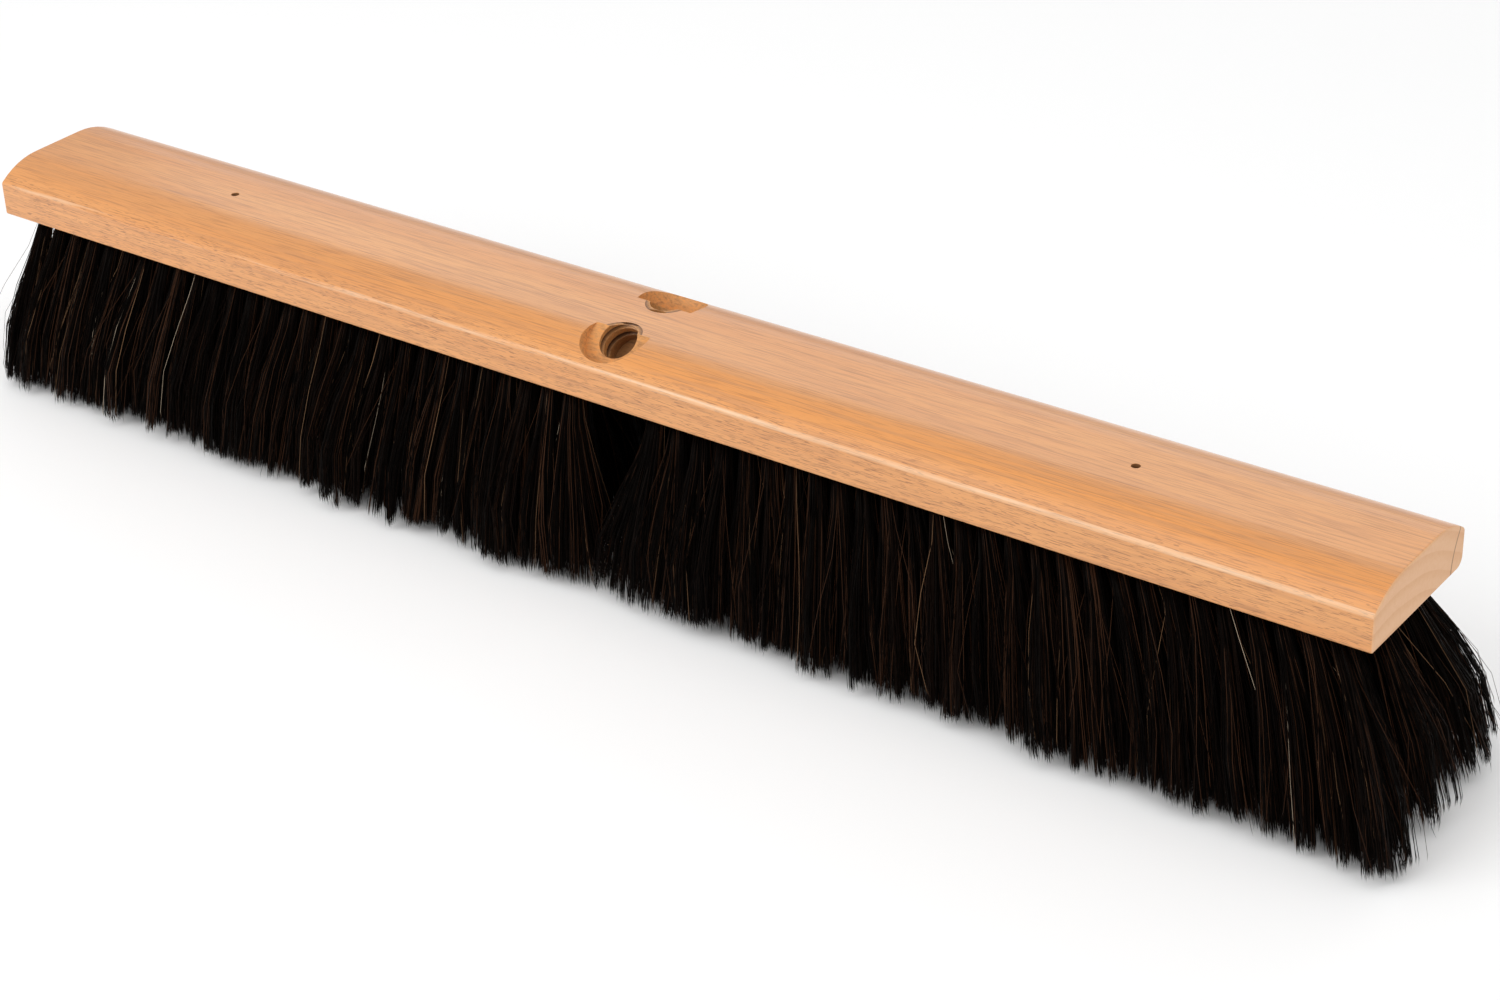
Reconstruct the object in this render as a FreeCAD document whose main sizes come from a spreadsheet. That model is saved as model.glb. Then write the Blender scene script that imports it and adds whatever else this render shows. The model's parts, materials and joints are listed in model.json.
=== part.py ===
"""Push broom head: a beech block with six rows of hair tufts, each tuft held by a steel anchor.

Frame, in millimetres: the origin is on the floor midway under the broom, +X runs along the block,
+Y points to the back and +Z up. The hair stands on the floor at z = 0, and the block's underside
is one trim height above it. A left and a right bank of tufts lean away from the middle.
"""

import FreeCAD, Part
import math
import os

import Sketcher
from FreeCAD import Placement, Rotation, Vector

# ---------------------------------------------------------------- driving dimensions

SIZES = {
    # beech block
    "block_length": 609.6,
    "block_width": 63.5,
    "block_thickness": 20.5,
    "side_height": 13.6,
    "shoulder_radius": 32.0,
    "crest_round": 1.6,
    "back_bottom_round": 4.0,
    "end_round": 0.8,
    # handle holes: one leans to the front and one to the back
    "handle_lean": 38.0,
    "handle_hole_along": 0.4,
    "handle_hole_across": 17.1,
    "hole_depth": 16.5,
    "spot_face_radius": 12.7,
    "spot_face_depth": 3.2,
    "thread_minor_radius": 7.5,
    "thread_major_radius": 9.0,
    "thread_pitch": 5.08,
    "thread_root_width": 1.7,
    "thread_flank_width": 0.6,
    "thread_overlap": 0.4,
    "thread_end_depth": 15.75,
    "thread_height": 10.1,
    # pilot holes for a handle brace
    "pilot_spacing": 406.4,
    "pilot_radius": 1.65,
    "pilot_depth": 7.5,
    # tufts: each is made longer than the trim and then cut level at the floor
    "trim_height": 73.0,
    "row_count": 6,
    "longest_row": 60,
    "tuft_pitch": 9.77,
    "row_pitch": 9.6,
    "tuft_hole_radius": 3.0,
    "tuft_hole_depth": 12.0,
    "tuft_root_radius": 2.95,
    "tuft_root_length": 11.9,
    "tuft_reach": 90.0,
    "tuft_reach_radius": 5.1,
    "splay_along": 29.0,
    "splay_across": 14.0,
    "least_wall": 5.2,
    # anchors: flat plates on edge across the tuft holes, their ends bitten into the wood
    "anchor_length": 7.2,
    "anchor_height": 2.0,
    "anchor_thickness": 0.5,
    "anchor_depth": 8.6,
    "loop_play": 0.05,
}

doc = FreeCAD.newDocument("push_broom_head")
sheet = doc.addObject("Spreadsheet::Sheet", "Sizes")
for line, (alias, value) in enumerate(SIZES.items(), start=1):
    sheet.set(f"A{line}", alias)
    sheet.set(f"B{line}", str(value))
    sheet.setAlias(f"B{line}", alias)
doc.recompute()


def size(alias):
    """A driving dimension as the sheet holds it."""
    return float(sheet.get(alias))


MOUTH_RISE = 14.0  # how far a handle hole's cutter stands above the top

# ---------------------------------------------------------------- helpers


def new_sketch(body, name, role, offset=None):
    """A sketch on one of the body's own origin planes, moved by offset within that plane."""
    sketch = body.newObject("Sketcher::SketchObject", name)
    plane = next(f for f in body.Origin.OriginFeatures if f.Role == role)
    sketch.AttachmentSupport = [(plane, "")]
    sketch.MapMode = "FlatFace"
    if offset is not None:
        sketch.AttachmentOffset = offset
    return sketch


def hold(sketch, name, kind, *where, value, cell):
    """Adds a sketch dimension and binds it to an expression on the sheet's cells."""
    number = sketch.addConstraint(Sketcher.Constraint(kind, *where, value))
    sketch.renameConstraint(number, name)
    sketch.setExpression(f"Constraints.{name}", cell)


def line_loop(sketch, points):
    """A closed loop of lines through the points, with level and upright lines held so."""
    count = len(points)
    for i, (a, b) in enumerate(zip(points, points[1:] + points[:1])):
        sketch.addGeometry(Part.LineSegment(Vector(*a, 0), Vector(*b, 0)), False)
        if abs(a[1] - b[1]) < 1e-9:
            sketch.addConstraint(Sketcher.Constraint("Horizontal", i))
        elif abs(a[0] - b[0]) < 1e-9:
            sketch.addConstraint(Sketcher.Constraint("Vertical", i))
    for i in range(count):
        sketch.addConstraint(Sketcher.Constraint("Coincident", i, 2, (i + 1) % count, 1))


def edge_names(shape, wanted):
    """Names of the shape's edges whose two ends both satisfy wanted(point)."""
    return [
        f"Edge{i}"
        for i, edge in enumerate(shape.Edges, start=1)
        if len(edge.Vertexes) == 2 and all(wanted(v.Point) for v in edge.Vertexes)
    ]


def bind(thing, name, cell):
    """Binds a property to an expression on the sheet's cells."""
    thing.setExpression(name, cell)


# ---------------------------------------------------------------- beech block


def section_sketch(body):
    """The block's section: flat top, two round shoulders, upright sides, one rounded bottom edge."""
    half, top, side = size("block_width") / 2, size("block_thickness"), size("side_height")
    round_r, edge_r = size("shoulder_radius"), size("back_bottom_round")
    drop = top - side
    reach = math.sqrt(round_r**2 - (round_r - drop) ** 2)
    flat = half - reach
    start = math.acos(reach / round_r)
    sketch = new_sketch(body, "section", "YZ_Plane")
    up = Vector(0, 0, 1)
    shoulder = Part.Circle(Vector(flat, top - round_r, 0), up, round_r)
    front_shoulder = Part.Circle(Vector(-flat, top - round_r, 0), up, round_r)
    bottom_edge = Part.Circle(Vector(half - edge_r, edge_r, 0), up, edge_r)
    sketch.addGeometry(Part.LineSegment(Vector(-half, 0, 0), Vector(half - edge_r, 0, 0)), False)
    sketch.addGeometry(Part.ArcOfCircle(bottom_edge, -math.pi / 2, 0), False)
    sketch.addGeometry(Part.LineSegment(Vector(half, edge_r, 0), Vector(half, side, 0)), False)
    sketch.addGeometry(Part.ArcOfCircle(shoulder, start, math.pi / 2), False)
    sketch.addGeometry(Part.LineSegment(Vector(flat, top, 0), Vector(-flat, top, 0)), False)
    sketch.addGeometry(Part.ArcOfCircle(front_shoulder, math.pi / 2, math.pi - start), False)
    sketch.addGeometry(Part.LineSegment(Vector(-half, side, 0), Vector(-half, 0, 0)), False)
    bottom, corner, back, back_arc, crown, front_arc, front = range(7)
    for first, second in ((bottom, corner), (corner, back), (back_arc, crown), (crown, front_arc)):
        sketch.addConstraint(Sketcher.Constraint("Tangent", first, 2, second, 1))
    for first, second in ((back, back_arc), (front_arc, front), (front, bottom)):
        sketch.addConstraint(Sketcher.Constraint("Coincident", first, 2, second, 1))
    for level in (bottom, crown):
        sketch.addConstraint(Sketcher.Constraint("Horizontal", level))
    for upright in (back, front):
        sketch.addConstraint(Sketcher.Constraint("Vertical", upright))
    sketch.addConstraint(Sketcher.Constraint("PointOnObject", bottom, 1, -1))
    sketch.addConstraint(Sketcher.Constraint("Equal", back_arc, front_arc))
    sketch.addConstraint(Sketcher.Constraint("Horizontal", back, 2, front, 1))
    hold(sketch, "corner_r", "Radius", corner, value=edge_r, cell="Sizes.back_bottom_round")
    hold(sketch, "shoulder_r", "Radius", back_arc, value=round_r, cell="Sizes.shoulder_radius")
    hold(sketch, "side", "DistanceY", front, 2, front, 1, value=side, cell="Sizes.side_height")
    hold(sketch, "top", "DistanceY", front, 2, crown, 1, value=top, cell="Sizes.block_thickness")
    hold(sketch, "half", "DistanceX", front, 2, -1, 1, value=half, cell="Sizes.block_width / 2")
    hold(sketch, "width", "DistanceX", front, 2, back, 1, value=2 * half, cell="Sizes.block_width")
    return sketch


def hole_frame(side):
    """The frame of a handle hole, where its axis crosses the top: its Y axis points out of the hole."""
    lean = Rotation(Vector(0, 0, 1), -side * size("handle_lean"))
    across = side * size("handle_hole_across")
    return Placement(Vector(across, size("block_thickness"), size("handle_hole_along")), lean)


def axis_ends(point, x):
    """The ends of a level dimension between the origin and a sketch point at x, the lower x first."""
    return (-1, 1, *point) if x > 0 else (*point, -1, 1)


def handle_groove(body, name, side, steps):
    """A round hole about the frame's Y axis, from steps of (radius cell, depth cell) going in."""
    sketch = new_sketch(body, f"{name}_profile", "YZ_Plane", hole_frame(side))
    corners = [(0.0, MOUTH_RISE), (size(steps[0][0]), MOUTH_RISE)]
    corners += [(size(radius), -size(depth)) for radius, depth in steps]
    corners += [(0.0, corners[-1][1])]
    line_loop(sketch, [(-side * x, y) for x, y in corners])
    sketch.addConstraint(Sketcher.Constraint("PointOnObject", 0, 1, -2))
    sketch.addConstraint(Sketcher.Constraint("DistanceY", -1, 1, 0, 1, MOUTH_RISE))
    for number, (radius, depth) in enumerate(steps, start=1):
        before, here = corners[number], corners[number + 1]
        if number == 1 or here[0] != before[0]:
            ends = axis_ends((number, 2), -side * here[0])
            label, cell = f"radius_{number}", f"Sizes.{radius}"
            hold(sketch, label, "DistanceX", *ends, value=here[0], cell=cell)
        if here[1] != before[1]:
            label, cell = f"depth_{number}", f"Sizes.{depth}"
            hold(sketch, label, "DistanceY", number, 2, -1, 1, value=-here[1], cell=cell)
    groove = body.newObject("PartDesign::Groove", name)
    groove.Profile = sketch
    groove.ReferenceAxis = (sketch, ["V_Axis"])
    groove.Angle = 360
    doc.recompute()


def thread_cut(body, name, side):
    """The handle's coarse right-hand thread: a trapezoid swept up a helix about a hole's axis."""
    deep, shallow = size("thread_major_radius"), size("thread_minor_radius") - size("thread_overlap")
    root, flank, end = size("thread_root_width"), size("thread_flank_width"), size("thread_end_depth")
    sketch = new_sketch(body, f"{name}_profile", "YZ_Plane", hole_frame(side))
    line_loop(
        sketch,
        [
            (side * deep, -end),
            (side * deep, root - end),
            (side * shallow, root + flank - end),
            (side * shallow, -flank - end),
        ],
    )
    crest = "Sizes.thread_minor_radius - Sizes.thread_overlap"
    for label, point, value, cell in (
        ("major", (0, 1), deep, "Sizes.thread_major_radius"),
        ("minor", (2, 1), shallow, crest),
    ):
        ends = axis_ends(point, side)
        hold(sketch, label, "DistanceX", *ends, value=value, cell=cell)
    hold(sketch, "root", "DistanceY", 0, 1, 0, 2, value=root, cell="Sizes.thread_root_width")
    hold(sketch, "upper", "DistanceY", 1, 1, 1, 2, value=flank, cell="Sizes.thread_flank_width")
    hold(sketch, "lower", "DistanceY", 3, 1, 3, 2, value=flank, cell="Sizes.thread_flank_width")
    hold(sketch, "end", "DistanceY", 0, 1, -1, 1, value=end, cell="Sizes.thread_end_depth")
    helix = body.newObject("PartDesign::SubtractiveHelix", name)
    helix.Profile = sketch
    helix.ReferenceAxis = (sketch, ["V_Axis"])
    helix.Mode = "pitch-height-angle"
    bind(helix, "Pitch", "Sizes.thread_pitch")
    bind(helix, "Height", "Sizes.thread_height")
    doc.recompute()


def pilot_holes(body):
    """Two small blind holes in the top for a handle brace's screws."""
    sketch = new_sketch(body, "pilot_profile", "XY_Plane")
    bind(sketch, "AttachmentOffset.Base.z", "Sizes.block_thickness")
    radius, apart = size("pilot_radius"), size("pilot_spacing")
    for number, side in enumerate((-1, 1)):
        sketch.addGeometry(Part.Circle(Vector(side * apart / 2, 0, 0), Vector(0, 0, 1), radius), False)
        sketch.addConstraint(Sketcher.Constraint("PointOnObject", number, 3, -1))
    sketch.addConstraint(Sketcher.Constraint("Equal", 0, 1))
    hold(sketch, "radius", "Radius", 0, value=radius, cell="Sizes.pilot_radius")
    hold(sketch, "half", "DistanceX", 0, 3, -1, 1, value=apart / 2, cell="Sizes.pilot_spacing / 2")
    hold(sketch, "apart", "DistanceX", 0, 3, 1, 3, value=apart, cell="Sizes.pilot_spacing")
    pocket = body.newObject("PartDesign::Pocket", "pilot_holes")
    pocket.Profile = sketch
    bind(pocket, "Length", "Sizes.pilot_depth")


def make_block():
    """The shaped block with its handle and pilot holes, before its tuft holes are drilled."""
    body = doc.addObject("PartDesign::Body", "BlockBody")
    pad = body.newObject("PartDesign::Pad", "bar")
    pad.Profile = section_sketch(body)
    pad.SideType = "Symmetric"
    bind(pad, "Length", "Sizes.block_length")
    doc.recompute()

    half_long, half_wide = size("block_length") / 2, size("block_width") / 2
    side = size("side_height")

    def on_crest(p):
        return abs(abs(p.y) - half_wide) < 1e-4 and abs(p.z - side) < 1e-4

    def on_end(p):
        return abs(abs(p.x) - half_long) < 1e-4

    crest = body.newObject("PartDesign::Fillet", "crest")
    crest.Base = (pad, edge_names(pad.Shape, on_crest))
    bind(crest, "Radius", "Sizes.crest_round")
    doc.recompute()
    ends = body.newObject("PartDesign::Fillet", "ends")
    ends.Base = (crest, edge_names(crest.Shape, on_end))
    bind(ends, "Radius", "Sizes.end_round")
    doc.recompute()
    steps = [
        ("spot_face_radius", "spot_face_depth"),
        ("thread_minor_radius", "spot_face_depth"),
        ("thread_minor_radius", "hole_depth"),
    ]
    for name, side in (("front", -1), ("back", 1)):
        handle_groove(body, f"{name}_hole", side, steps)
        thread_cut(body, f"{name}_thread", side)
    pilot_holes(body)
    bind(body, "Placement.Base.z", "Sizes.trim_height")
    doc.recompute()
    return body


# ---------------------------------------------------------------- tufts and anchors


def make_tuft():
    """One tuft with its root up in the hole: a folded bundle with a loop round its anchor."""
    root, top = size("tuft_root_radius"), size("tuft_root_length")
    reach, reach_radius = size("tuft_reach"), size("tuft_reach_radius")
    body = doc.addObject("PartDesign::Body", "TuftBody")
    sketch = new_sketch(body, "tuft_profile", "XZ_Plane")
    line_loop(sketch, [(0.0, top), (root, top), (root, 0.0), (reach_radius, -reach), (0.0, -reach)])
    sketch.addConstraint(Sketcher.Constraint("PointOnObject", 0, 1, -2))
    sketch.addConstraint(Sketcher.Constraint("PointOnObject", 2, 1, -1))
    hold(sketch, "root", "DistanceX", -1, 1, 2, 1, value=root, cell="Sizes.tuft_root_radius")
    hold(sketch, "top", "DistanceY", -1, 1, 0, 1, value=top, cell="Sizes.tuft_root_length")
    hold(sketch, "spread", "DistanceX", -1, 1, 3, 1, value=reach_radius, cell="Sizes.tuft_reach_radius")
    hold(sketch, "reach", "DistanceY", 3, 1, -1, 1, value=reach, cell="Sizes.tuft_reach")
    bundle = body.newObject("PartDesign::Revolution", "bundle")
    bundle.Profile = sketch
    bundle.ReferenceAxis = (sketch, ["V_Axis"])
    bundle.Angle = 360
    doc.recompute()

    play = size("loop_play")
    half, low = size("anchor_thickness") / 2 + play, size("anchor_depth") - play
    high = size("anchor_depth") + size("anchor_height") + play
    loop = new_sketch(body, "loop_profile", "XZ_Plane")
    line_loop(loop, [(-half, low), (half, low), (half, high), (-half, high)])
    hold(
        loop, "half", "DistanceX", -1, 1, 1, 1, value=half,
        cell="Sizes.anchor_thickness / 2 + Sizes.loop_play",
    )
    hold(
        loop, "width", "DistanceX", 0, 1, 0, 2, value=2 * half,
        cell="Sizes.anchor_thickness + 2 * Sizes.loop_play",
    )
    hold(
        loop, "low", "DistanceY", -1, 1, 0, 1, value=low,
        cell="Sizes.anchor_depth - Sizes.loop_play",
    )
    hold(
        loop, "height", "DistanceY", 1, 1, 1, 2, value=high - low,
        cell="Sizes.anchor_height + 2 * Sizes.loop_play",
    )
    slot = body.newObject("PartDesign::Pocket", "loop")
    slot.Profile = loop
    slot.SideType = "Symmetric"
    bind(slot, "Length", "3 * Sizes.tuft_root_radius")
    doc.recompute()
    return body


def make_anchor():
    """One anchor plate, across its tuft hole and up the hole from the mouth."""
    plate = doc.addObject("Part::Box", "AnchorPlate")
    bind(plate, "Length", "Sizes.anchor_thickness")
    bind(plate, "Width", "Sizes.anchor_length")
    bind(plate, "Height", "Sizes.anchor_height")
    bind(plate, "Placement.Base.x", "-Sizes.anchor_thickness / 2")
    bind(plate, "Placement.Base.y", "-Sizes.anchor_length / 2")
    bind(plate, "Placement.Base.z", "Sizes.anchor_depth")
    return plate


def make_drill(plate):
    """What a tuft takes out of the block: its drilled hole and the two bites of its anchor."""
    bore = doc.addObject("Part::Cylinder", "TuftBore")
    bind(bore, "Radius", "Sizes.tuft_hole_radius")
    bind(bore, "Height", "2 * Sizes.tuft_hole_depth")
    bind(bore, "Placement.Base.z", "-Sizes.tuft_hole_depth")
    drill = doc.addObject("Part::Fuse", "TuftDrill")
    drill.Base = bore
    drill.Tool = plate
    doc.recompute()
    return drill


def tuft_places(row):
    """Where the tufts of a row stand: placements at the hole mouths, fanned out by their splay."""
    rows, longest, pitch = int(size("row_count")), int(size("longest_row")), size("tuft_pitch")
    trim = size("trim_height")
    count = longest - row % 2
    middle = (rows - 1) / 2
    across = (row - middle) * size("row_pitch")
    row_end = (longest - 1) / 2 * pitch
    lean_across = size("splay_across") / trim * (row - middle) / middle
    for number in range(count):
        along = (number - (count - 1) / 2) * pitch
        lean_along = size("splay_along") / trim * along / row_end
        lean = Rotation(Vector(0, 0, -1), Vector(lean_along, lean_across, -1))
        yield Placement(Vector(along, across, trim), lean)


def handle_hole_room():
    """The two handle holes as plain solids, to keep the tuft holes clear of them."""
    top, depth = size("trim_height") + size("block_thickness"), size("hole_depth")
    room = []
    for side in (-1, 1):
        lean = math.radians(side * size("handle_lean"))
        out = Vector(0, math.sin(lean), math.cos(lean))
        mouth = Vector(size("handle_hole_along"), side * size("handle_hole_across"), top)
        room.append(Part.makeCylinder(size("thread_major_radius"), depth, mouth - out * depth, out))
    return Part.makeCompound(room)


def placed(shape, place):
    """A copy of a master shape, moved from its own place to another."""
    copy = shape.copy()
    copy.Placement = place.multiply(shape.Placement)
    return copy


def add_node(name, shape):
    """A finished sub-part whose shape is set here, in its own place."""
    node = doc.addObject("Part::Feature", name)
    node.Shape = shape
    node.Label = name
    return node


def make_tufts_and_anchors():
    """Fills every hole of every row, and returns the nodes and the drills for the block."""
    tuft, anchor = make_tuft(), make_anchor()
    drill = make_drill(anchor)
    room = handle_hole_room()
    wide = 2 * size("block_length")
    floor = Part.makeBox(wide, wide, wide, Vector(-wide / 2, -wide / 2, -wide))
    nodes, drills = [], []
    for row in range(int(size("row_count"))):
        banks = {"left": [], "right": []}
        for place in tuft_places(row):
            cutter = placed(drill.Shape, place)
            if cutter.distToShape(room)[0] < size("least_wall"):
                continue
            drills.append(cutter)
            banks["left" if place.Base.x < 0 else "right"].append(place)
        for bank, places in banks.items():
            hair = Part.makeCompound([placed(tuft.Shape, p).cut(floor) for p in places])
            plates = Part.makeCompound([placed(anchor.Shape, p) for p in places])
            nodes.append(add_node(f"tufts_row_{row + 1}_{bank}", hair))
            nodes.append(add_node(f"anchors_row_{row + 1}_{bank}", plates))
            print(f"row {row + 1} {bank}: {len(places)} tufts")
    return nodes, drills


block_body = make_block()
nodes, drills = make_tufts_and_anchors()
drilling = doc.addObject("Part::Feature", "Drilling")
drilling.Shape = Part.makeCompound(drills)
block = doc.addObject("Part::Cut", "block")
block.Base = block_body
block.Tool = drilling
block.Label = "block"
doc.recompute()
nodes.append(block)

# ---------------------------------------------------------------- checks and files

for item in doc.Objects:
    if "Invalid" in item.State or "Error" in item.State:
        raise RuntimeError(f"{item.Name} failed: {item.State}")
for item in doc.findObjects("Sketcher::SketchObject"):
    if not item.FullyConstrained:
        raise RuntimeError(f"{item.Name} is not held by its dimensions")
os.makedirs("parts", exist_ok=True)
for node in nodes:
    if node.Shape.isNull() or not node.Shape.isValid():
        raise RuntimeError(f"{node.Label} is not a valid shape")
    node.Shape.exportStep(f"parts/{node.Label}.step")
whole = Part.makeCompound([node.Shape for node in nodes]).optimalBoundingBox()
print("solids", sum(len(node.Shape.Solids) for node in nodes), "box", whole)
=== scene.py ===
# %% [markdown]
# # A push broom head
# A push broom head is a bar of beech with rows of blind holes drilled into its underside, and a
# folded bundle of horsehair driven into each hole. This notebook keeps the wood as the workshop
# drawing gives it and spends its effort on two things: a believable lacquered beech, and more than
# a hundred thousand single hairs. Everything is in metres, with the floor at z = 0.

import json
import math

import bmesh
import bpy
import numpy as np
from mathutils import Matrix, Vector


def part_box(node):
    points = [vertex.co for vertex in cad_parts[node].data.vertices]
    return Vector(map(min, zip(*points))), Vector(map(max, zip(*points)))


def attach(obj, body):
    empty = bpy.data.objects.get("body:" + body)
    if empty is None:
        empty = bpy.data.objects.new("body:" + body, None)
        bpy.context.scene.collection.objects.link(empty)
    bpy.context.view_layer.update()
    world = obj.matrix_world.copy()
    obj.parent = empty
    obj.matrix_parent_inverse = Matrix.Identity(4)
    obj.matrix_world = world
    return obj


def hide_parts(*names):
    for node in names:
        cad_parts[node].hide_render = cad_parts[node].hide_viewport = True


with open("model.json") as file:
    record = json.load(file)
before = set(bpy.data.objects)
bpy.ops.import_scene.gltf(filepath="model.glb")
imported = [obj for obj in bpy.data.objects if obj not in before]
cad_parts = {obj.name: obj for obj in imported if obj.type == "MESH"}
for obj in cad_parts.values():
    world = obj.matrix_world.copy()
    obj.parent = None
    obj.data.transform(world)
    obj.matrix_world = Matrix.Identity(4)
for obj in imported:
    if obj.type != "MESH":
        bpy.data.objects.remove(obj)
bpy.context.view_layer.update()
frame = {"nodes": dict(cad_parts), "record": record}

MM = 0.001
nodes = frame["nodes"]
mounts = {mount["name"]: mount for mount in frame["record"]["mounts"]}
block = nodes["block"]
block_low, block_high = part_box("block")
UNDERSIDE, TOP = block_low.z, block_high.z
HALF_LENGTH, HALF_WIDTH = block_high.x, block_high.y

# %% [markdown]
# ## Writing shader maths as sums
# A procedural wood is mostly arithmetic on positions: distances, waves, thresholds. Wiring dozens
# of Math nodes by hand hides that arithmetic, so a small class wraps a socket and gives it the
# ordinary operators. One other method adds every other kind of node.

# %% A socket that can be reckoned with


class Amount:
    """A socket's number in a shader: an expression on it adds Math nodes."""

    def __init__(self, finish, socket):
        self.finish, self.socket = finish, socket

    def maths(self, operation, *others):
        return self.finish.maths(operation, self, *others)

    def __add__(self, other):
        return self.maths("ADD", other)

    def __sub__(self, other):
        return self.maths("SUBTRACT", other)

    def __rsub__(self, other):
        return self.finish.maths("SUBTRACT", other, self)

    def __mul__(self, other):
        return self.maths("MULTIPLY", other)

    def __truediv__(self, other):
        return self.maths("DIVIDE", other)

    def __lt__(self, other):
        return self.maths("LESS_THAN", other)

    def __gt__(self, other):
        return self.maths("GREATER_THAN", other)

    __radd__, __rmul__ = __add__, __mul__

    def abs(self):
        return self.maths("ABSOLUTE")

    def sqrt(self):
        return self.maths("SQRT")

    def rise(self, low, high):
        """0 below low, 1 above high, and a smooth step between; the other way round if low > high."""
        limits = {0: self, 1: low, 2: high}
        if low > high:
            limits = {0: self, 1: high, 2: low, 3: 1.0, 4: 0.0}
        settings = {"interpolation_type": "SMOOTHSTEP", "clamp": True}
        return self.finish.add("ShaderNodeMapRange", settings, limits).out(0)


class Added:
    """A node that was added, whose outputs come out wrapped."""

    def __init__(self, finish, node):
        self.finish, self.node = finish, node

    def out(self, key):
        return Amount(self.finish, self.node.outputs[key])


class Finish:
    """A material being written: its tree, its shader and the way to add nodes to it."""

    def __init__(self, name, **plain):
        self.material = bpy.data.materials.new(name)
        self.material.use_nodes = True
        self.tree = self.material.node_tree
        self.shader = next(n for n in self.tree.nodes if n.type == "BSDF_PRINCIPLED")
        for socket, value in plain.items():
            self.surface(socket.replace("_", " "), value)

    def add(self, kind, settings=None, sockets=None):
        """Adds a node: its settings first, then a value or a link for each socket."""
        node = self.tree.nodes.new(kind)
        for key, value in (settings or {}).items():
            setattr(node, key, value)
        for key, value in (sockets or {}).items():
            self.feed(node.inputs[key], value)
        return Added(self, node)

    def feed(self, socket, value):
        if isinstance(value, Amount):
            self.tree.links.new(value.socket, socket)
        else:
            socket.default_value = value

    def maths(self, operation, *values):
        """A Math node on numbers, of which some are sockets and some may be plain."""
        return self.add("ShaderNodeMath", {"operation": operation}, dict(enumerate(values))).out(0)

    def surface(self, name, value):
        """Feeds one of the shader's own sockets."""
        self.feed(self.shader.inputs[name], value)


print("shader maths ready")

# %% [markdown]
# ## Coordinates that follow the grain
# Beech grain runs the length of the bar. The pattern has to run with it, so every noise is read at
# positions that are squeezed along X and stretched across: the same blob of noise then becomes a
# streak. Object coordinates are used because the bar's origin is the drawing's origin, so the grain
# is carved out of one solid and the end faces show the same rings as the top.

# %% Positions, streaks and stains


def place_of(finish):
    """The point on the object, and its three parts, in metres."""
    point = finish.add("ShaderNodeTexCoord").out("Object")
    split = finish.add("ShaderNodeSeparateXYZ", None, {0: point})
    return point, split.out("X"), split.out("Y"), split.out("Z")


def streaks(point, along, across, detail=2.0, roughness=0.5, seed=0.0):
    """Noise whose blobs are 1/along metres long and 1/across metres wide; a seed reads it elsewhere."""
    add = point.finish.add
    scaled = add(
        "ShaderNodeVectorMath", {"operation": "MULTIPLY_ADD"},
        {0: point, 1: (along, across, across), 2: (seed, seed * 0.37, -seed)},
    ).out(0)
    sockets = {"Vector": scaled, "Scale": 1.0, "Detail": detail, "Roughness": roughness}
    return add("ShaderNodeTexNoise", None, sockets).out(0)


def blend_colour(share, first, second):
    """The first colour where the share is 0, and the second where it is 1."""
    first, second = (c if isinstance(c, Amount) else (*c, 1.0) for c in (first, second))
    sockets = {0: share, 6: first, 7: second}
    return share.finish.add("ShaderNodeMix", {"data_type": "RGBA"}, sockets).out(2)


def stain(ground, *layers):
    """Lays colours over a ground one after another, each by its own share."""
    for share, colour in layers:
        ground = blend_colour(share, ground, colour)
    return ground


# %% [markdown]
# ## The beech
# Steamed beech is a warm tan with faint growth rings, and its rays show as short dark dashes on the
# sides of a flat-sawn bar and as almost nothing on its top. The lacquer is a thin satin coat. Where
# a cutter went through it, at the handle holes, the wood is bare, rougher and more orange. Shade is
# painted in: dark brown in the thread grooves and the pilot holes, darker still deep in each handle
# hole. Painted highlights run along the crests and the back shoulder. The recipe mixes colours from
# light to dark in that order.

# %% The beech's colours
PALE_BEECH = (0.735, 0.342, 0.120)
TAN_BEECH = (0.668, 0.278, 0.086)
ORANGE_BEECH = (0.765, 0.300, 0.064)
RING_BROWN = (0.560, 0.250, 0.095)
FLECK_BROWN = (0.300, 0.120, 0.045)
END_GRAIN = (0.700, 0.410, 0.225)
# A painted highlight colour, laid along the crests and the back shoulder.
PAINTED_EDGE_HIGHLIGHT = (0.930, 0.660, 0.430)
CUT_WOOD = (0.620, 0.285, 0.090)
# Dark brown for scrape marks and the ring line on the ends, and painted as shade in the thread grooves and
# the pilot holes.
DARK_BROWN_AND_SHADE = (0.210, 0.095, 0.036)
SHADOW_BROWN = (0.060, 0.026, 0.012)

beech = Finish("lacquered_beech", IOR=1.5, Coat_Roughness=0.16, Coat_IOR=1.5)
point, x, y, z = place_of(beech)
height = z - UNDERSIDE
print(f"block {2 * HALF_LENGTH:.4f} m long, {2 * HALF_WIDTH:.4f} wide, {TOP - UNDERSIDE:.4f} thick")

# %% Growth rings: the distance from a pith that runs below the bar
PITH_ACROSS, PITH_DOWN = -20.0 * MM, 85.0 * MM
RING_GAP = 6.2 * MM
RING_SWAY, RING_WANDER = 30.0 * MM, 12.0 * MM

wander = streaks(point, 2.2, 11.0, seed=3.1) - 0.5
sway = streaks(point, 1.1, 3.0, detail=0.0, seed=8.4) - 0.5
from_pith_y = y - PITH_ACROSS + sway * RING_SWAY
from_pith_z = height + PITH_DOWN
from_pith = (from_pith_y * from_pith_y + from_pith_z * from_pith_z).sqrt() + wander * RING_WANDER
ring_turn = (from_pith / RING_GAP).maths("FRACT")
late_wood = ring_turn.rise(0.35, 0.97) * ring_turn.rise(1.0, 0.97)
print(f"rings every {RING_GAP / MM:.1f} mm, each darkening towards its late wood")

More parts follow.
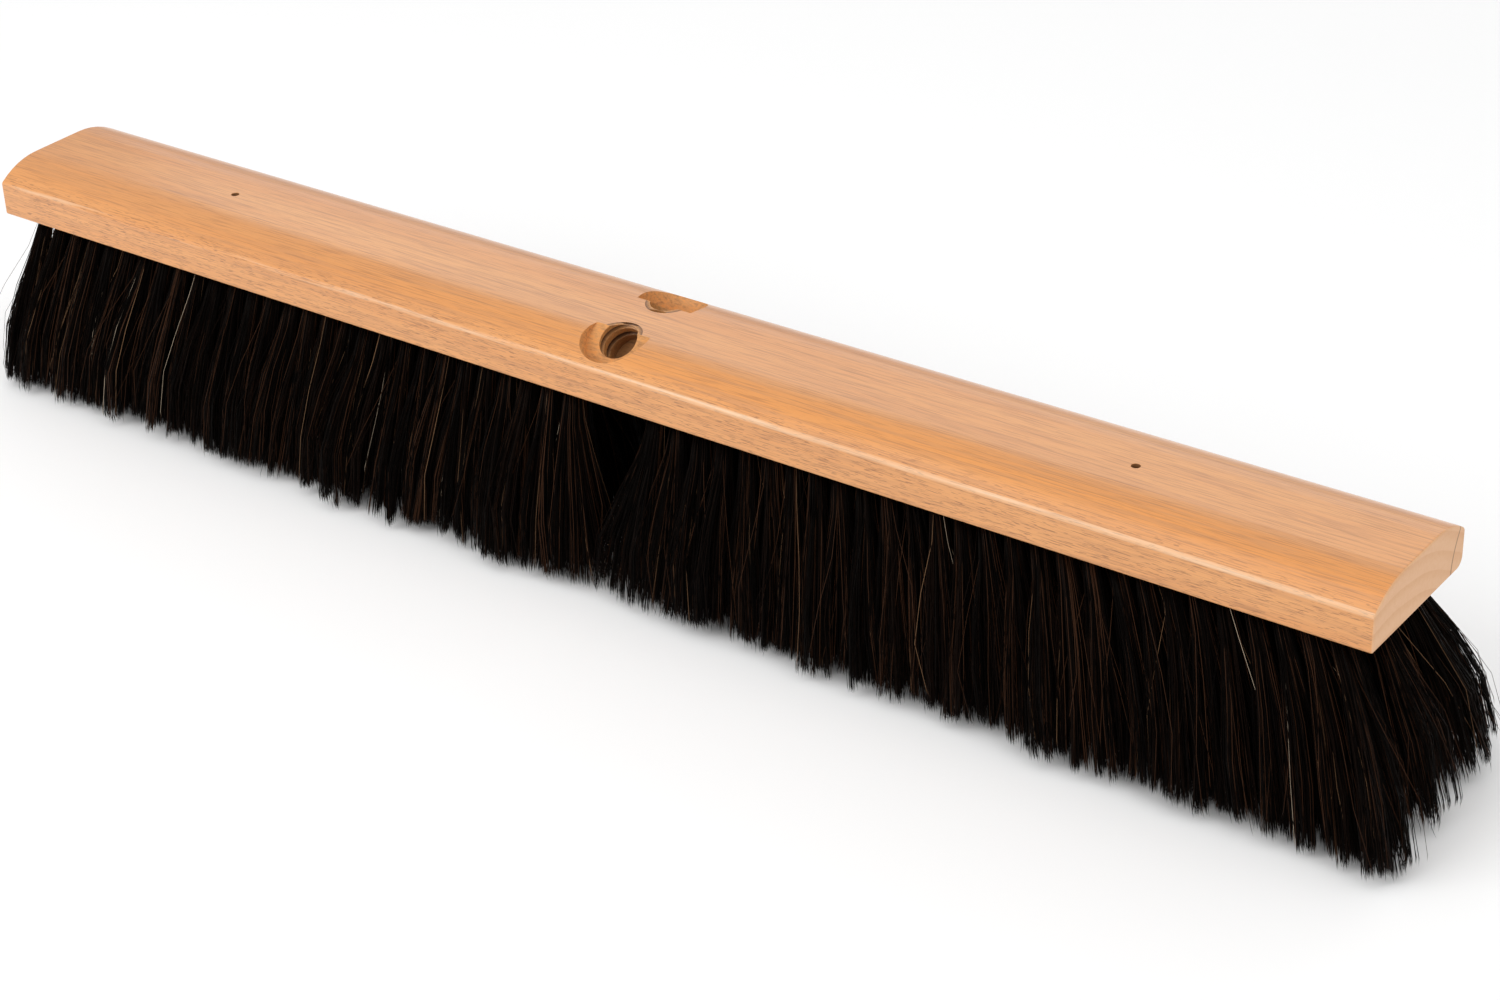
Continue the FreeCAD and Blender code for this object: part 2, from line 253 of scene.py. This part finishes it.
# %% Streaks and flecks
FLECKS_ALONG, FLECKS_ACROSS = 240.0, 3300.0
broad = streaks(point, 3.0, 60.0, detail=4.0, roughness=0.6, seed=1.0)
fine = streaks(point, 16.0, 620.0, detail=3.0, roughness=0.65, seed=5.0)
hairline = streaks(point, 55.0, 2100.0, detail=1.0, seed=2.0)
fleck_noise = streaks(point, FLECKS_ALONG, FLECKS_ACROSS, detail=1.0, roughness=0.4, seed=4.0)
on_sides = y.abs().rise(HALF_WIDTH - 6.0 * MM, HALF_WIDTH - 1.0 * MM)
flecks = fleck_noise.rise(0.60, 0.66) * (on_sides * 0.80 + 0.20)
print(f"flecks about {1 / FLECKS_ALONG / MM:.1f} mm long and {1 / FLECKS_ACROSS / MM:.1f} mm high")

# %% The warmer band on the front shoulder, and painted highlights on the edges
BAND_DRIFT = 14.0 * MM
drift = (streaks(point, 5.0, 30.0, detail=4.0, roughness=0.55, seed=6.0) - 0.5) * BAND_DRIFT
band_place = y + drift
warm_band = band_place.rise(-15.0 * MM, -17.8 * MM) * band_place.rise(-33.0 * MM, -23.5 * MM)
warm_band = warm_band * (0.30 + x.rise(-0.28, 0.02) * 0.65)

CREST_HEIGHT = 13.4 * MM
crest = y.abs().rise(HALF_WIDTH - 1.1 * MM, HALF_WIDTH - 0.7 * MM)
crest = crest * height.rise(CREST_HEIGHT - 1.2 * MM, CREST_HEIGHT - 0.5 * MM)
# Painted highlight along both crests, stronger towards the right end and mottled by the fine streaks.
crest_highlight = crest * (x.rise(-0.22, 0.24) * 0.34 + fine.rise(0.42, 0.68) * 0.40)
above_crest = height.rise(CREST_HEIGHT - 0.5 * MM, CREST_HEIGHT + 0.5 * MM)
# Painted highlight along the back shoulder, standing in for the lacquer's pale reflection there.
rear_shoulder_highlight = y.rise(23.5 * MM, 29.0 * MM) * above_crest * 0.45
print(f"crests worn {CREST_HEIGHT / MM:.1f} mm above the underside")

# %% Where the cutters went: the handle holes, the pilot holes and the sawn ends


def inside_bore(mount, radius, depth_from, depth_to):
    """1 in a bore round a mount's axis between two places along it, those places, and the radius."""
    axis, foot = tuple(mount["axis"]), tuple(mount["pos_m"])

    def vector_maths(operation, out, *values):
        return beech.add("ShaderNodeVectorMath", {"operation": operation}, dict(enumerate(values))).out(out)

    offset = vector_maths("SUBTRACT", 0, point, foot)
    along = vector_maths("DOT_PRODUCT", "Value", offset, axis)
    far = vector_maths("LENGTH", "Value", offset)
    away = (far * far - along * along).maths("MAXIMUM", 0.0).sqrt()
    return (away < radius) * (along > depth_from) * (along < depth_to), along, away


SPOT_FACE_RADIUS, THREAD_OUTER_RADIUS = 12.75 * MM, 9.1 * MM
HOLE_BOTTOM, POCKET_TOP = -12.0 * MM, 30.0 * MM
SKIN = 0.2 * MM
cut_faces, threads, thread_groove_shade, hole_depth_shade = 0.0, 0.0, 0.0, 0.0
for name in ("front_handle_hole", "back_handle_hole"):
    hole = mounts[name]
    thread_mouth = hole["dims"]["length_mm"] * MM / 2 - SKIN
    in_pocket, along, away = inside_bore(hole, SPOT_FACE_RADIUS, thread_mouth, POCKET_TOP)
    in_thread, _, _ = inside_bore(hole, THREAD_OUTER_RADIUS, HOLE_BOTTOM, thread_mouth)
    cut_faces = in_pocket + cut_faces
    threads = in_thread + threads
    # Painted shade: dark brown in the thread grooves, and darker still towards the bottom of each hole.
    thread_groove_shade = in_thread * away.rise(7.4 * MM, 9.0 * MM) + thread_groove_shade
    hole_depth_shade = in_thread * along.rise(3.0 * MM, -9.0 * MM) + hole_depth_shade

pilots = mounts["brace_pilot_holes"]["dims"]
pilot_place, pilot_reach = pilots["spacing_x_mm"] * MM / 2, pilots["hole_r_mm"] * MM * 1.06
pilot_off = x.abs() - pilot_place
below_top = height < TOP - UNDERSIDE - SKIN
in_pilot = ((pilot_off * pilot_off + y * y).sqrt() < pilot_reach) * below_top
on_ends = x.abs().rise(HALF_LENGTH - 3 * SKIN, HALF_LENGTH - SKIN)
print(f"cut faces: two handle holes, pilot holes {2 * pilot_place:.4f} m apart, two ends")

# %% [markdown]
# ### Mixing the colour
# Each feature is a share between 0 and 1, and the colours go on one after another like stains.
# The end faces take rings instead of streaks, because the saw cut across the fibres there, and the
# lacquer sinks in, so they are paler and duller. One dark ring runs up the back of each end, and
# curves away from the middle as it rises.

# %% The beech's colour
long_grain = stain(
    blend_colour(broad.rise(0.30, 0.72), PALE_BEECH, TAN_BEECH),
    (warm_band * 0.80, ORANGE_BEECH),
    (late_wood * 0.26, RING_BROWN),
    (fine.rise(0.46, 0.66) * 0.62, RING_BROWN),
    (hairline.rise(0.50, 0.70) * 0.40, FLECK_BROWN),
    (flecks * 0.72, FLECK_BROWN),
    # Painted highlights along the crests and the back shoulder.
    (crest_highlight.maths("MAXIMUM", rear_shoulder_highlight), PAINTED_EDGE_HIGHLIGHT),
)

END_LINE_FOOT, END_LINE_CURVE = 23.0 * MM, 20.0
from_line = y - END_LINE_FOOT - height * height * END_LINE_CURVE
ring_line = from_line.rise(-0.6 * MM, -0.2 * MM) * from_line.rise(0.5 * MM, 0.1 * MM)
end_rings = late_wood * 0.30 + fine.rise(0.4, 0.7) * 0.12
end_grain = stain(END_GRAIN, (end_rings, RING_BROWN), (ring_line * 0.85, DARK_BROWN_AND_SHADE))

scrape = streaks(point, 260.0, 900.0, detail=3.0, roughness=0.7, seed=9.0)
pocket_wood = stain(
    CUT_WOOD,
    (scrape.rise(0.44, 0.74) * 0.65, DARK_BROWN_AND_SHADE),
    (scrape.rise(0.50, 0.36) * 0.6, ORANGE_BEECH),
)
# Painted shade in the threads: dark brown in the grooves, darker towards the hole's bottom, over the scrape
# marks.
thread_wood = stain(
    CUT_WOOD,
    (thread_groove_shade, DARK_BROWN_AND_SHADE),
    (scrape.rise(0.4, 0.7) * 0.5, DARK_BROWN_AND_SHADE),
    (hole_depth_shade * (0.50 + thread_groove_shade * 0.45), SHADOW_BROWN),
)
beech.surface("Base Color", stain(
    long_grain,
    (on_ends, end_grain),
    (cut_faces * 0.9, pocket_wood),
    (threads, thread_wood),
    # Painted shade: the pilot holes are filled with dark brown.
    (in_pilot * 0.85, DARK_BROWN_AND_SHADE),
))
print("beech's colour uses", len(beech.tree.nodes), "nodes")

# %% The lacquer, and the feel of the surface under it
bare = (cut_faces + threads + in_pilot).maths("MINIMUM", 1.0)
unlacquered = (height < 2 * SKIN).maths("MAXIMUM", bare)
roughness = 0.42 + fine * 0.10 + cut_faces * 0.22 + on_ends * 0.18 + crest * 0.05
beech.surface("Roughness", roughness)
beech.surface("Coat Weight", (1.0 - unlacquered) * (1.0 - on_ends * 0.75) * (0.5 - crest * 0.15))
relief = fine * 0.35 + hairline * 0.25 + broad * 0.6 - flecks * 0.5 + (scrape - 0.5) * bare * 3.0
bump = beech.add("ShaderNodeBump", None, {"Strength": 0.35, "Distance": 0.22 * MM, "Height": relief})
beech.surface("Normal", bump.out(0))

for slot in block.material_slots:
    slot.material = beech.material
print("beech has", len(beech.tree.nodes), "nodes on", len(block.data.polygons), "faces")

# %% [markdown]
# ## The anchors
# Each bundle is folded round a flat piece of steel wire and driven in, and the wire's ends bite the
# wood. They are hidden once the hair is in, so their finish is a plain drawn steel with faint lines.

# %% Drawn steel
steel = Finish("drawn_steel", Base_Color=(0.55, 0.54, 0.52, 1.0), Metallic=1.0, IOR=2.2)
steel_point, *_ = place_of(steel)
drawn = streaks(steel_point, 900.0, 120.0)
steel.surface("Roughness", 0.32 + drawn * 0.25)
steel_bump = steel.add("ShaderNodeBump", None, {"Strength": 0.2, "Distance": 0.05 * MM, "Height": drawn})
steel.surface("Normal", steel_bump.out(0))
anchors = [node for name, node in nodes.items() if name.startswith("anchors_")]
for anchor in anchors:
    for slot in anchor.material_slots:
        slot.material = steel.material
print("steel on", len(anchors), "rows of anchors")

# %% [markdown]
# ## Horsehair, one hair at a time
# Hair could be a texture on a solid brush of bristles, or a particle system. A texture fails at the
# ragged tips, and particles can't be handed on as a mesh. So each hair is a thin three-sided tube
# that tapers to a point: from a hand's width away three sides can't be told from round, and the
# whole head stays light enough to turn on a screen.
#
# The drawing gives each tuft as a plain cone. Its axis says where the tuft starts and how it leans,
# so the next step reads every cone's axis from its mesh.

# %% Each tuft's axis, read from the drawing's cones
NEAR_FLOOR, NEAR_TOP, NEAR_CROWN = 1.0 * MM, 4.0 * MM, 0.4 * MM


def loose_parts(node):
    """The vertex places of each separate solid in a node."""
    bm = bmesh.new()
    bm.from_mesh(node.data)
    bmesh.ops.remove_doubles(bm, verts=bm.verts, dist=1e-6)
    bm.verts.ensure_lookup_table()
    seen, parts = set(), []
    for start in bm.verts:
        if start.index in seen:
            continue
        seen.add(start.index)
        waiting, places = [start], []
        while waiting:
            vert = waiting.pop()
            places.append(tuple(vert.co))
            for edge in vert.link_edges:
                other = edge.other_vert(vert)
                if other.index not in seen:
                    seen.add(other.index)
                    waiting.append(other)
        parts.append(np.array(places))
    bm.free()
    return parts


def middle(points):
    """The middle of the box round some points."""
    return (points.min(0) + points.max(0)) / 2


def tuft_axis(points):
    """A cone's mouth, where it meets the underside, and its foot on the floor."""
    foot = middle(points[points[:, 2] < NEAR_FLOOR])
    rough = middle(points[points[:, 2] > points[:, 2].max() - NEAR_TOP]) - foot
    along = (points - foot) @ (rough / np.linalg.norm(rough))
    crown = middle(points[along > along.max() - NEAR_CROWN])
    mouth = foot + (crown - foot) * UNDERSIDE / crown[2]
    return mouth, foot


banks = {}
for name in sorted(nodes):
    if name.startswith("tufts_"):
        axes = sorted((tuft_axis(part) for part in loose_parts(nodes[name])), key=lambda a: a[0][0])
        banks[name] = np.array([a[0] for a in axes]), np.array([a[1] for a in axes])
print({name: len(mouths) for name, (mouths, _) in banks.items()})

# %% [markdown]
# ### How a hair lies
# A hair leaves its hole inside a bundle 5 mm thick, runs down the tuft's axis and spreads.
# Neighbouring hairs stick together towards the tip, which is what makes the ragged little points
# along the sweep edge. So every tuft has 28 locks, in four groups that drift together: each hair
# keeps its own place at the root and is drawn part of the way to its lock's tip. A few hairs go
# astray, bend more and are browner than the rest.

# %% Sizes of the hair
HAIRS_BY_ROW = {1: 500, 2: 330, 3: 270, 4: 270, 5: 330, 6: 500}
RINGS_BY_ROW = {1: 6, 2: 5, 3: 5, 4: 5, 5: 5, 6: 6}
PIECE_FACES = 190_000

# A hair's root, its radius and how that varies, and the share of its length that ends in a point.
BUNDLE_RADIUS, HIDDEN_ROOT = 2.6 * MM, 4.0 * MM
HAIR_RADIUS, POINT_SHARE = 0.148 * MM, 0.035
THIN_TO_THICK, STRAY_THICKNESS, THICKNESS_AT_POINT = (0.75, 1.15), 0.8, 0.80

# Where tips end: how wide a tuft spreads and sways, and how far its hairs stop above the floor.
TIP_SPREAD = np.array((6.9, 9.4)) * MM
TUFT_SWAY, TUFT_LIFT, HAIR_LIFT, LEAST_LIFT = 1.2 * MM, 2.2 * MM, 0.9 * MM, 0.4 * MM
LOWEST = 0.3 * MM
OUTER_LIMIT = Vector((HALF_LENGTH + 26.0 * MM, HALF_WIDTH + 19.0 * MM))

# The locks: how strongly they pull, and how far their tips drift, bow and lift.
BIG_LOCKS, LOCKS, LOCK_PULL = 4, 28, 0.52
GROUP_DRIFT, LOCK_DRIFT, LOCK_LIFT = 2.2 * MM, 1.1 * MM, 3.8 * MM
GROUP_BOW, LOCK_BOW = 0.9, 1.8 * MM

# Strays, beside the hairs that keep to their lock.
STRAY_SHARE, CURLY_SHARE = 0.032, 0.2
LOOSE, STRAY_LOOSE = 1.5 * MM, 6.5 * MM
BEND, STRAY_BEND, CURL = 1.1 * MM, 3.2 * MM, 3.0 * MM
STRAY_LIFT = 14 * MM

# The lean of the left half, the lean a hair leaves its hole with, how much steeper it falls at its
# tip, and how long each end's pull on the curve is.
LEFT_LEAN = 0.51
LEAVING_LEAN, FALL, EASE = np.array((1.30, 1.20, 1.0)), np.array((0.0, 0.0, -1.3)), 0.34

# The faint wave along a hair: the radians it turns through, and its size.
WAVE_TURN, WAVE_SIZE = (4, 9), 0.45 * MM

# How far the four innermost tufts of a row reach into the gap at the handle holes.
GAP_REACH, GAP_END = (14.0 * MM, 9.0 * MM, 5.0 * MM, 2.5 * MM), 80.0 * MM
FIRST_SEED = 100
print("hairs in a tuft by row", HAIRS_BY_ROW)

# %% Places in a bundle, and the locks


def unit(vectors):
    """The vectors at length 1."""
    return vectors / np.linalg.norm(vectors, axis=-1, keepdims=True)


def in_disc(rng, tufts, count):
    """Random places in a disc of radius 1: an array of tuft, place and x y."""
    turn = rng.uniform(0, 2 * math.pi, (tufts, count))
    reach = np.sqrt(rng.uniform(0, 1, (tufts, count)))
    return np.stack((reach * np.cos(turn), reach * np.sin(turn)), -1)


def locks_of(rng, own):
    """Each hair's lock, and that lock's tip, bow and lift, from the hairs' places in their bundles."""
    tufts = len(own)
    lock_at = in_disc(rng, tufts, LOCKS)
    lock = np.linalg.norm(own[:, :, None] - lock_at[:, None], axis=-1).argmin(-1)
    drift = np.tile(rng.normal(0, GROUP_DRIFT, (tufts, BIG_LOCKS, 2)), (1, LOCKS // BIG_LOCKS, 1))
    tip = lock_at * TIP_SPREAD + rng.normal(0, LOCK_DRIFT, lock_at.shape) + drift
    bow = drift * GROUP_BOW + rng.normal(0, LOCK_BOW, lock_at.shape)
    lift = rng.uniform(0, LOCK_LIFT, (tufts, LOCKS)) + rng.uniform(0, TUFT_LIFT, (tufts, 1))
    pick = np.take_along_axis
    return lock, pick(tip, lock[..., None], 1), pick(bow, lock[..., None], 1), pick(lift, lock, 1)


def gap_fill(mouths, own):
    """How far tips lean into the gap at the handle holes; a bundle's innermost hairs lean the most."""
    inwards = -np.sign(mouths[0, 0])
    order = np.abs(mouths[:, 0]).argsort().argsort()
    reach = np.array([*GAP_REACH, 0.0])[np.minimum(order, len(GAP_REACH))]
    reach[np.abs(mouths[:, 0]) > GAP_END] = 0.0
    free = np.clip(own[..., 0] * inwards * 0.6 + 0.5, 0.0, 1.0)
    return inwards * reach[:, None] * free


# %% Paths for all the hairs of a bank


def curve(root, first, second, tip, t):
    """A cubic curve through every hair's four points, at shares t of the way from root to tip."""
    return (
        root[:, :, None] * (1 - t) ** 3
        + first[:, :, None] * 3 * t * (1 - t) ** 2
        + second[:, :, None] * 3 * t**2 * (1 - t)
        + tip[:, :, None] * t**3
    )


def hair_paths(rng, mouths, feet, per_tuft, rings):
    """Places along every hair, root to tip, whether it is astray, and the number of its lock."""
    tufts = len(mouths)
    down = unit(feet - mouths)[:, None, :]
    side = unit(np.cross(down, (0.0, 1.0, 0.0)))
    ahead = np.cross(side, down)

    def spread(offsets):
        return offsets[..., :1] * side + offsets[..., 1:] * ahead

    own = in_disc(rng, tufts, per_tuft)
    lock, lock_tip, lock_bow, lock_lift = locks_of(rng, own)
    lift = lock_lift + np.abs(rng.normal(0, HAIR_LIFT, lock.shape)) + LEAST_LIFT

    astray = rng.uniform(0, 1, lock.shape) < STRAY_SHARE
    loose = np.where(astray, STRAY_LOOSE, LOOSE)[..., None]
    free_tip = own * TIP_SPREAD + rng.normal(0, 1.0, own.shape) * loose
    pull = np.where(astray, 0.0, LOCK_PULL)[..., None]
    sway = rng.normal(0, TUFT_SWAY, (tufts, 1, 2))
    tip = feet[:, None] + spread(free_tip * (1 - pull) + lock_tip * pull + sway)
    tip[..., 0] += gap_fill(mouths, own)
    tip[..., 2] = lift + np.where(astray, rng.uniform(0, STRAY_LIFT, lock.shape), 0)

    root = mouths[:, None] + spread(own * BUNDLE_RADIUS) - down * HIDDEN_ROOT
    pull_length = np.linalg.norm(tip - root, axis=-1, keepdims=True)
    curly = astray & (rng.uniform(0, 1, lock.shape) < CURLY_SHARE)
    bend = np.where(astray, STRAY_BEND, BEND) + np.where(curly, CURL, 0.0)
    bow = rng.normal(0, 1.0, own.shape) * bend[..., None] + lock_bow
    first = root + unit(down * LEAVING_LEAN) * pull_length * EASE
    second = tip - unit(down + FALL) * pull_length * EASE + spread(bow)
    t = np.append(np.linspace(0, 1 - POINT_SHARE, rings - 1), 1.0)[:, None]
    path = curve(root, first, second, tip, t)

    waver = rng.uniform(0, 2 * math.pi, (*lock.shape, 1, 2))
    wave = np.sin(waver + t * rng.uniform(*WAVE_TURN, (*lock.shape, 1, 1)))
    wave = wave * np.sin(t * math.pi) * WAVE_SIZE
    path += wave[..., :1] * side[:, :, None] + wave[..., 1:] * ahead[:, :, None]
    for axis in (0, 1):
        path[..., axis] = np.clip(path[..., axis], -OUTER_LIMIT[axis], OUTER_LIMIT[axis])
    path[..., 2] = np.maximum(path[..., 2], LOWEST)
    clump = lock + np.arange(tufts)[:, None] * LOCKS
    return path.reshape(-1, rings, 3), astray.ravel(), clump.ravel()


# %% Tubes round the paths


def hair_tubes(rng, path, radius):
    """Three-sided tubes that end in a point: vertex places, then each face's corners."""
    hairs, rings, _ = path.shape
    tangent = unit(np.gradient(path, axis=1))
    turn = rng.uniform(0, 2 * math.pi, (hairs, 1))
    guide = np.stack((np.cos(turn), np.sin(turn), np.zeros_like(turn)), -1)
    across = unit(np.cross(tangent, guide))
    other = np.cross(tangent, across)
    thin = np.linspace(1.0, THICKNESS_AT_POINT, rings - 1)[None, :, None] * radius[:, None, None]
    corners = []
    for corner in range(3):
        angle = corner * 2 * math.pi / 3
        corners.append((across * math.cos(angle) + other * math.sin(angle))[:, :-1] * thin)
    body = path[:, :-1, None] + np.stack(corners, 2)
    per_hair = 3 * (rings - 1) + 1
    places = np.concatenate((body.reshape(hairs, -1, 3), path[:, -1:]), 1).reshape(-1, 3)

    quads, triangles = [], [(2, 1, 0)]
    for ring in range(rings - 2):
        for corner in range(3):
            a, b = 3 * ring + corner, 3 * ring + (corner + 1) % 3
            quads.append((a, b, b + 3, a + 3))
    last = 3 * (rings - 2)
    for corner in range(3):
        triangles.append((last + corner, last + (corner + 1) % 3, last + 3))
    starts = (np.arange(hairs) * per_hair)[:, None, None]
    return places, np.array(quads) + starts, np.array(triangles) + starts


def mesh_of_hairs(name, places, quads, triangles, tones):
    """One mesh from the tubes, with each hair's tone on its faces."""
    mesh = bpy.data.meshes.new(name)
    quad_count, triangle_count = quads.shape[1], triangles.shape[1]
    flat_quads, flat_triangles = quads.reshape(-1, 4), triangles.reshape(-1, 3)
    corners = np.concatenate((flat_quads.ravel(), flat_triangles.ravel())).astype(np.int32)
    sizes = np.concatenate((np.full(len(flat_quads), 4), np.full(len(flat_triangles), 3)))
    starts = np.concatenate(((0,), np.cumsum(sizes)[:-1])).astype(np.int32)
    face_tones = np.concatenate((np.repeat(tones, quad_count), np.repeat(tones, triangle_count)))
    mesh.vertices.add(len(places))
    mesh.vertices.foreach_set("co", places.astype(np.float32).ravel())
    mesh.loops.add(len(corners))
    mesh.loops.foreach_set("vertex_index", corners)
    mesh.polygons.add(len(sizes))
    mesh.polygons.foreach_set("loop_start", starts)
    mesh.polygons.foreach_set("material_index", face_tones.astype(np.int32))
    mesh.update(calc_edges=True)
    mesh.shade_smooth()
    return mesh


# %% [markdown]
# ### The colours of horsehair
# Black horsehair for brushes is a mixture: most of it is near black, with dark brown and chestnut
# between, and now and then a tan or a pale hair. One hair hardly changes along its length, so each
# tone is one plain finish, and the variety comes from giving every hair its own tone. Some hairs take
# their lock's tone instead, so that a lock stands out from the next one. Hair this dark shines only
# faintly, and the shine is brownish, so the specular level is low and its tint is warm.

# %% The tones
TONE_COLOURS = {
    "hair_black": (0.0012, 0.0007, 0.0006),
    "hair_dark_brown": (0.0068, 0.0031, 0.0019),
    "hair_chestnut": (0.0480, 0.0205, 0.0105),
    "hair_tan": (0.1900, 0.1050, 0.0550),
    "hair_pale": (0.4800, 0.3800, 0.2800),
}
TONES = len(TONE_COLOURS)

# Each tone's share among a tuft's own hairs, among whole locks, and among strays.
BODY_TONES = (0.6480, 0.2600, 0.0850, 0.0063, 0.0007)
CLUMP_TONES = (0.660, 0.230, 0.110, 0.0, 0.0)
STRAY_TONES = (0.290, 0.325, 0.290, 0.075, 0.020)
CLUMP_SHARE = 0.30

tone_finishes = [
    Finish(
        name, Base_Color=(*colour, 1.0), Roughness=0.36, IOR=1.45,
        Specular_IOR_Level=0.07, Specular_Tint=(1.0, 0.86, 0.76, 1.0),
    )
    for name, colour in TONE_COLOURS.items()
]
print("tones", *TONE_COLOURS)

# %% The tufts
hair_pieces, hair_count, hair_faces = [], 0, 0
for number, (bank, (mouths, feet)) in enumerate(banks.items()):
    rng = np.random.default_rng(FIRST_SEED + number)
    _, _, row, bank_side = bank.split("_")
    per_tuft, rings = HAIRS_BY_ROW[int(row)], RINGS_BY_ROW[int(row)]
    faces_a_tuft = per_tuft * (6 * (rings - 2) + 4)
    shares = math.ceil(len(mouths) * faces_a_tuft / PIECE_FACES)
    tips = np.where(mouths < 0, mouths + (feet - mouths) * (LEFT_LEAN, 1, 1), feet)
    for share, picked in enumerate(np.array_split(np.arange(len(mouths)), shares)):
        path, astray, clump = hair_paths(rng, mouths[picked], tips[picked], per_tuft, rings)
        radius = HAIR_RADIUS * rng.uniform(*THIN_TO_THICK, len(path))
        radius = radius * np.where(astray, STRAY_THICKNESS, 1.0)
        body = rng.choice(TONES, len(path), p=BODY_TONES)
        clump_tones = rng.choice(TONES, len(picked) * LOCKS, p=CLUMP_TONES)[clump]
        body = np.where(rng.uniform(0, 1, len(path)) < CLUMP_SHARE, clump_tones, body)
        tones = np.where(astray, rng.choice(TONES, len(path), p=STRAY_TONES), body)
        name = f"hair_row_{row}_{bank_side}_{share + 1}"
        mesh = mesh_of_hairs(name, *hair_tubes(rng, path, radius), tones)
        for finish in tone_finishes:
            mesh.materials.append(finish.material)
        piece = bpy.data.objects.new(name, mesh)
        bpy.context.scene.collection.objects.link(piece)
        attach(piece, "root")
        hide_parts(bank)
        hair_pieces.append(piece)
        hair_count += len(path)
        hair_faces += len(picked) * faces_a_tuft
print(hair_count, "hairs in", len(hair_pieces), "pieces,", hair_faces, "triangles")

# %% [markdown]
# ## The room
# A plain pale floor and four soft lights: a large one overhead, a long one behind that draws the pale
# rim along the back shoulder, one in front of the left half for the hair, and one on the right for
# the bar's end. The floor fades into a pale surround, so nothing but the broom carries colour.

# %% The floor
FLOOR_HALF = 6.0
floor_corners = [(a * FLOOR_HALF, b * FLOOR_HALF, 0) for a, b in ((-1, -1), (1, -1), (1, 1), (-1, 1))]
floor_mesh = bpy.data.meshes.new("floor")
floor_mesh.from_pydata(floor_corners, [], [(0, 1, 2, 3)])
floor = bpy.data.objects.new("floor", floor_mesh)
bpy.context.scene.collection.objects.link(floor)
floor_mesh.materials.append(Finish("pale_floor", Base_Color=(0.98, 0.98, 0.98, 1.0), Roughness=0.8).material)
print("floor", 2 * FLOOR_HALF, "m square")

# %% The lights


def soft_light(name, place, aim, wide, high, watts):
    """A rectangle of light at a place, turned to face another."""
    lamp = bpy.data.lights.new(name, "AREA")
    lamp.shape, lamp.size, lamp.size_y, lamp.energy = "RECTANGLE", wide, high, watts
    light = bpy.data.objects.new(name, lamp)
    light.location = place
    light.rotation_euler = (Vector(aim) - Vector(place)).to_track_quat("-Z", "Y").to_euler()
    bpy.context.scene.collection.objects.link(light)
    print(name, "light,", watts, "W")


soft_light("overhead", (0.3, -0.3, 1.9), (0.1, 0, 0.08), 2.6, 1.8, 17)
soft_light("rim", (-0.5, 1.7, 0.9), (0, 0, 0.08), 2.6, 0.8, 6)
soft_light("key", (-0.85, -1.35, 1.05), (-0.75, 0, 0.10), 1.5, 0.9, 15)
soft_light("side", (1.9, -0.6, 0.6), (0.2, 0, 0.08), 0.9, 0.7, 7)

world = bpy.data.worlds.new("surround")
bpy.context.scene.world = world
world.use_nodes = True
surround = next(n for n in world.node_tree.nodes if n.type == "BACKGROUND")
surround.inputs["Color"].default_value = (1.0, 1.0, 1.0, 1.0)
surround.inputs["Strength"].default_value = 0.50
bpy.context.scene.view_settings.view_transform = "Standard"

# %% [markdown]
# ## The camera
# A long lens, standing to the right of the middle and above, looking down the bar. Its place is in
# the same metres as the broom.

# %% The camera
CAMERA_PLACE = (0.6430, -0.7859, 0.5966)
CAMERA_AZIMUTH, CAMERA_ELEVATION, CAMERA_ROLL = 37.27, 29.77, -2.30
LENS = 75.5

camera = bpy.data.objects.new("camera", bpy.data.cameras.new("camera"))
camera.data.lens = LENS
camera.data.clip_start, camera.data.clip_end = 0.01, 50.0
turned = (
    Matrix.Rotation(math.radians(CAMERA_AZIMUTH), 4, "Z")
    @ Matrix.Rotation(math.radians(90 - CAMERA_ELEVATION), 4, "X")
    @ Matrix.Rotation(math.radians(CAMERA_ROLL), 4, "Z")
)
camera.matrix_world = Matrix.Translation(CAMERA_PLACE) @ turned
bpy.context.scene.collection.objects.link(camera)
bpy.context.scene.camera = camera
print("camera at", CAMERA_PLACE, "with a", LENS, "mm lens")
